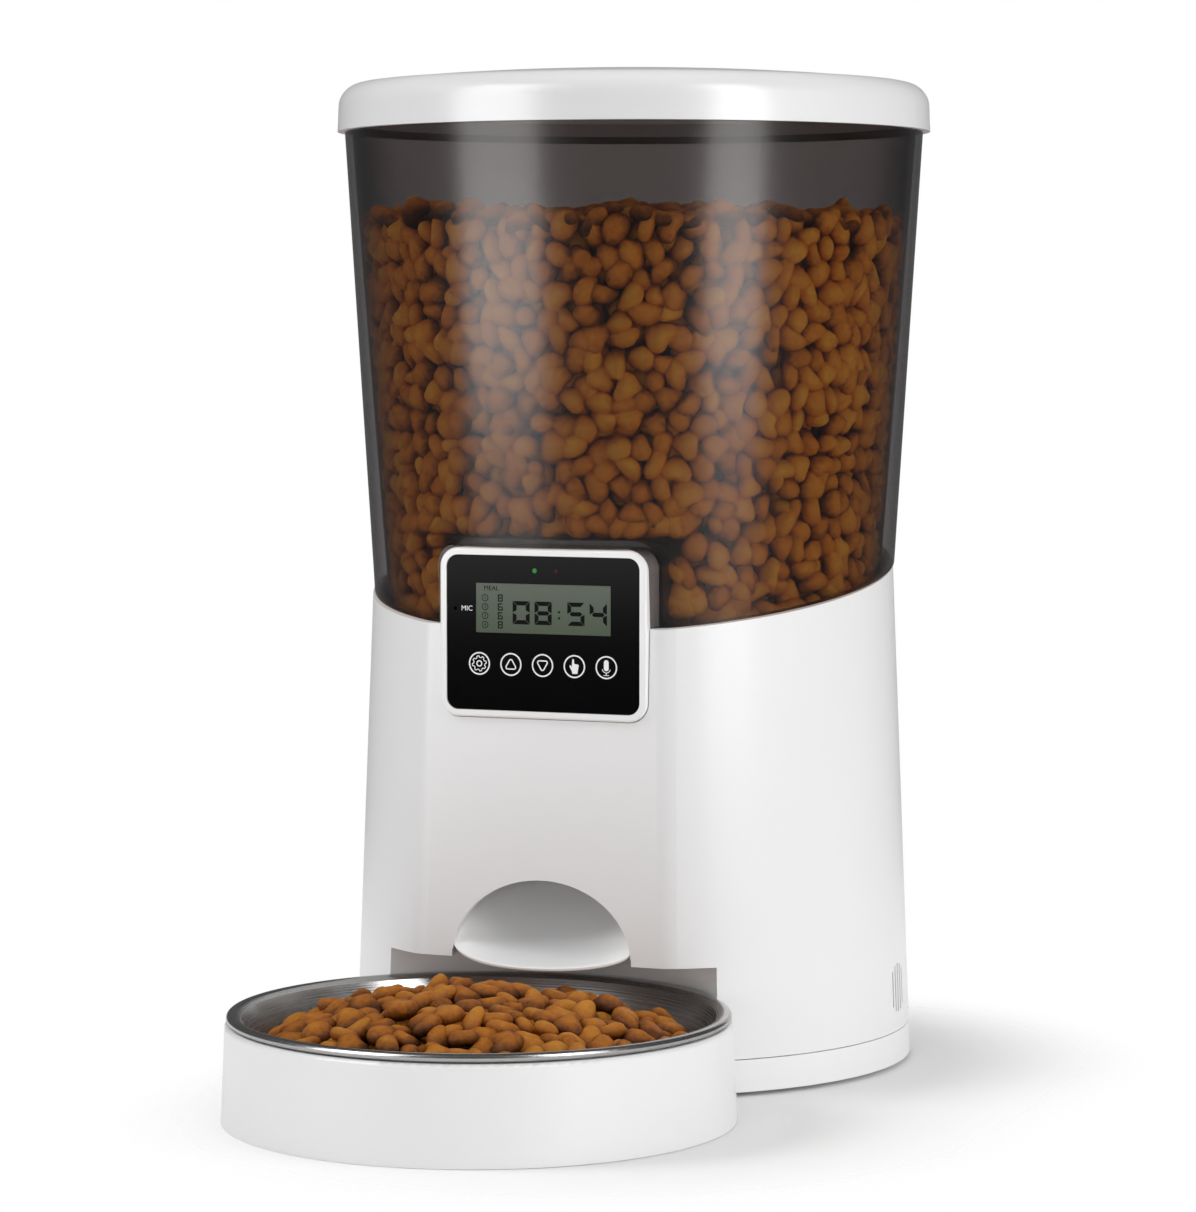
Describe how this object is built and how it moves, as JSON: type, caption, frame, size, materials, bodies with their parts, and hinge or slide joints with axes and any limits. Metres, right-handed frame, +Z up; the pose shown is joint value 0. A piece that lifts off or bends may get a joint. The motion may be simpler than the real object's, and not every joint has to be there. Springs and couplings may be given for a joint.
{
  "type": "automatic pet feeder",
  "caption": "Automatic dry food feeder: smoked hopper with lid on a round white base with a clock panel and outlet, and a steel bowl in a docked holder.",
  "frame": {"origin": "middle of the whole object's footprint, on the surface that it stands on", "axes": "+Z up; the control panel, outlet and bowl face -Y; +X is to the right seen from the front"},
  "size_m": [0.2208, 0.3458, 0.368],
  "materials": {
    "white_shell": "smooth satin white moulding",
    "white_plate": "smooth satin white moulding",
    "white_holder": "smooth satin white moulding",
    "white_lid": "smooth satin white moulding",
    "white_chute": "smooth satin white moulding",
    "bezel_white": "smooth satin white moulding",
    "black_panel": "glossy black",
    "lcd": "grey-green liquid crystal window",
    "led_green": "clear green lens",
    "led_red": "clear red lens, unlit",
    "microphone_grey": "matte",
    "circuit_board": "solder mask",
    "switch_black": "matte",
    "inner_white": "moulded",
    "gearbox_grey": "moulded",
    "steel": "turned",
    "motor_steel": "plated can",
    "rotor_blue_grey": "moulded",
    "gear_plastic": "moulded acetal",
    "brass": "cut",
    "smoked_clear": "smoked transparent moulding",
    "seal_silicone": "silicone",
    "desiccant_fabric": "non-woven sachet",
    "bowl_steel": "spun, bright rim",
    "cell_jacket": "printed film",
    "contact_spring": "nickel plated",
    "speaker_black": "matte",
    "foot_rubber": "moulded",
    "key_black": "glossy black"
  },
  "bodies": {
    "base": {"base_shell": "white_shell", "bowl_dock": "white_shell", "base_plate": "white_plate", "rubber_feet": "foot_rubber", "base_screws": "steel", "rotor_housing": "inner_white", "housing_cover": "inner_white", "chute": "white_chute", "gearbox_case": "gearbox_grey", "gear_axle": "steel", "motor": "motor_steel", "position_switch": "switch_black", "control_bezel": "bezel_white", "control_panel": "black_panel", "lcd_display": "lcd", "led_green": "led_green", "led_red": "led_red", "microphone": "microphone_grey", "tact_switches": "switch_black", "control_board": "circuit_board", "control_back": "inner_white", "battery_tray": "inner_white", "batteries": "cell_jacket", "battery_contacts": "contact_spring", "main_board": "circuit_board", "dc_jack": "switch_black", "speaker": "speaker_black"},
    "hopper": {"hopper_tank": "smoked_clear"},
    "lid": {"lid_shell": "white_lid", "lid_seal": "seal_silicone", "desiccant_box": "inner_white", "desiccant_cover": "inner_white", "desiccant_bag": "desiccant_fabric"},
    "rotor": {"output_shaft": "steel", "portion_rotor": "rotor_blue_grey", "agitator": "rotor_blue_grey", "output_gear": "gear_plastic"},
    "compound": {"compound_gear": "gear_plastic"},
    "pinion": {"motor_pinion": "brass", "motor_shaft": "steel"},
    "holder": {"bowl_holder": "white_holder"},
    "bowl": {"steel_bowl": "bowl_steel"},
    "door": {"battery_door": "white_plate"},
    "key_settings_body": {"key_settings": "key_black"},
    "key_up_body": {"key_up": "key_black"},
    "key_down_body": {"key_down": "key_black"},
    "key_feed_body": {"key_feed": "key_black"},
    "key_record_body": {"key_record": "key_black"}
  },
  "joints": [
    {"name": "hopper_lift", "type": "slide", "parent": "base", "child": "hopper", "axis": [0, 0, 1], "range_m": [0, 0.12]},
    {"name": "lid_lift", "type": "slide", "parent": "hopper", "child": "lid", "axis": [0, 0, 1], "range_m": [0, 0.08]},
    {"name": "rotor_spin", "type": "hinge", "parent": "base", "child": "rotor", "pos_m": [0, 0.0625, 0.12], "axis": [0, 0, 1], "continuous": true},
    {"name": "compound_spin", "type": "hinge", "parent": "base", "child": "compound", "pos_m": [0.02165, 0.075, 0.096], "axis": [0, 0, 1], "continuous": true},
    {"name": "pinion_spin", "type": "hinge", "parent": "base", "child": "pinion", "pos_m": [0.01714, 0.10061, 0.1], "axis": [0, 0, 1], "continuous": true},
    {"name": "holder_slide", "type": "slide", "parent": "base", "child": "holder", "axis": [0, -1, 0], "range_m": [0, 0.12]},
    {"name": "bowl_lift", "type": "slide", "parent": "holder", "child": "bowl", "axis": [0, 0, 1], "range_m": [0, 0.005]},
    {"name": "battery_door_pull", "type": "slide", "parent": "base", "child": "door", "axis": [0, 0, -1], "range_m": [0, 0.03]},
    {"name": "key_settings_press", "type": "slide", "parent": "base", "child": "key_settings_body", "axis": [0, 1, 0], "range_m": [0, 0.0004], "stiffness_N_per_m": 900, "springref_m": -0.0002},
    {"name": "key_up_press", "type": "slide", "parent": "base", "child": "key_up_body", "axis": [0, 1, 0], "range_m": [0, 0.0004], "stiffness_N_per_m": 900, "springref_m": -0.0002},
    {"name": "key_down_press", "type": "slide", "parent": "base", "child": "key_down_body", "axis": [0, 1, 0], "range_m": [0, 0.0004], "stiffness_N_per_m": 900, "springref_m": -0.0002},
    {"name": "key_feed_press", "type": "slide", "parent": "base", "child": "key_feed_body", "axis": [0, 1, 0], "range_m": [0, 0.0004], "stiffness_N_per_m": 900, "springref_m": -0.0002},
    {"name": "key_record_press", "type": "slide", "parent": "base", "child": "key_record_body", "axis": [0, 1, 0], "range_m": [0, 0.0004], "stiffness_N_per_m": 900, "springref_m": -0.0002}
  ],
  "couplings": [
    {"joint": "compound_spin", "follows": "rotor_spin", "ratio": -2.5714},
    {"joint": "pinion_spin", "follows": "rotor_spin", "ratio": 8.5714}
  ]
}
